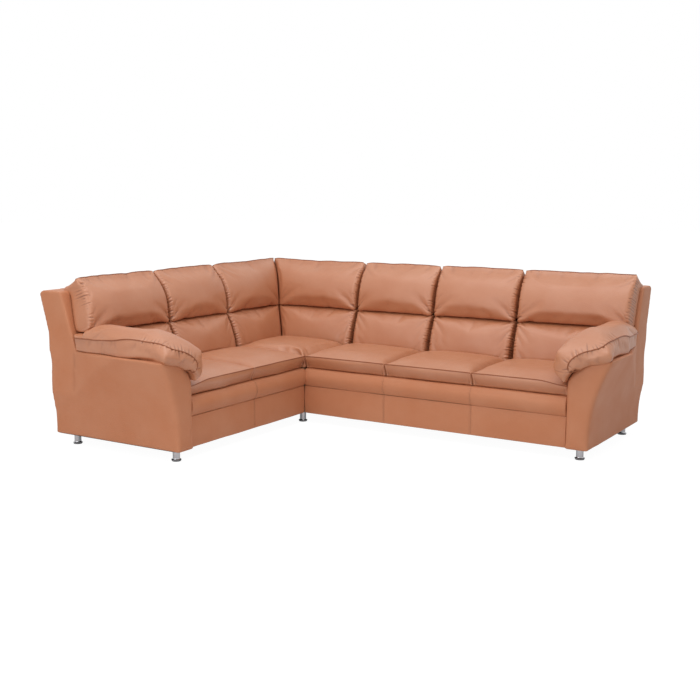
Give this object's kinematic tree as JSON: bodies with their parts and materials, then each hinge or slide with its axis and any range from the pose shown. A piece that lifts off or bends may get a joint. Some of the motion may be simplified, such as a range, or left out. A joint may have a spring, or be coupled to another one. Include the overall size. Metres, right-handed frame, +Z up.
{
  "type": "corner sofa",
  "caption": "L-shaped leather corner sofa in two hooked sections, with pillow-top arms, bolster backs and short chrome legs.",
  "frame": {"origin": "middle of the overall box, on the floor", "axes": "+X along the long wing to the right arm, +Y to the long wing's back, +Z up"},
  "size_m": [2.903, 2.317, 0.9452],
  "materials": {
    "tan_leather": "satin",
    "chrome": "polished",
    "steel": "satin",
    "spring_steel": "satin",
    "black_plastic": "matte",
    "black_cloth": "matte",
    "timber": "matte"
  },
  "bodies": {
    "corner_section": {"connector_sockets": "steel", "corner_outside_back": "tan_leather", "corner_section_back_frame": "timber", "corner_section_back_rail": "timber", "corner_section_cross_rails": "timber", "corner_section_dust_cover": "black_cloth", "corner_section_floor_pads": "black_plastic", "corner_section_front_rail": "timber", "corner_section_front_roll": "tan_leather", "corner_section_leg_blocks": "timber", "corner_section_leg_plates": "steel", "corner_section_legs": "chrome", "corner_section_seat_springs": "spring_steel", "corner_section_skirt_panel": "tan_leather", "corner_section_spring_rails": "timber", "head_bolster_1": "tan_leather", "head_bolster_2": "tan_leather", "head_bolster_3": "tan_leather", "head_bolster_4": "tan_leather", "left_arm_cover": "tan_leather", "left_arm_frame": "timber", "left_arm_pad": "tan_leather", "left_back_post": "tan_leather", "lumbar_cushion_1": "tan_leather", "lumbar_cushion_2": "tan_leather", "lumbar_cushion_3": "tan_leather", "lumbar_cushion_4": "tan_leather", "seat_cushion_by_left_arm": "tan_leather", "seat_cushion_corner": "tan_leather", "seat_cushion_short_wing": "tan_leather", "short_wing_outside_back": "tan_leather", "wall_spacers": "chrome"},
    "long_section": {"connector_hooks": "steel", "head_bolster_5": "tan_leather", "head_bolster_6": "tan_leather", "head_bolster_7": "tan_leather", "long_section_back_frame": "timber", "long_section_back_rail": "timber", "long_section_cross_rails": "timber", "long_section_dust_cover": "black_cloth", "long_section_floor_pads": "black_plastic", "long_section_front_rail": "timber", "long_section_front_roll": "tan_leather", "long_section_leg_blocks": "timber", "long_section_leg_plates": "steel", "long_section_legs": "chrome", "long_section_seat_springs": "spring_steel", "long_section_skirt_panel": "tan_leather", "long_section_spring_rails": "timber", "long_wing_outside_back": "tan_leather", "lumbar_cushion_5": "tan_leather", "lumbar_cushion_6": "tan_leather", "lumbar_cushion_7": "tan_leather", "right_arm_cover": "tan_leather", "right_arm_frame": "timber", "right_arm_pad": "tan_leather", "right_back_post": "tan_leather", "seat_cushion_by_right_arm": "tan_leather", "seat_cushion_long_wing_left": "tan_leather", "seat_cushion_long_wing_middle": "tan_leather"}
  },
  "joints": [
    {"name": "long_section_lift", "type": "slide", "parent": "corner_section", "child": "long_section", "axis": [0, 0, 1], "range_m": [0, 0.06]}
  ]
}
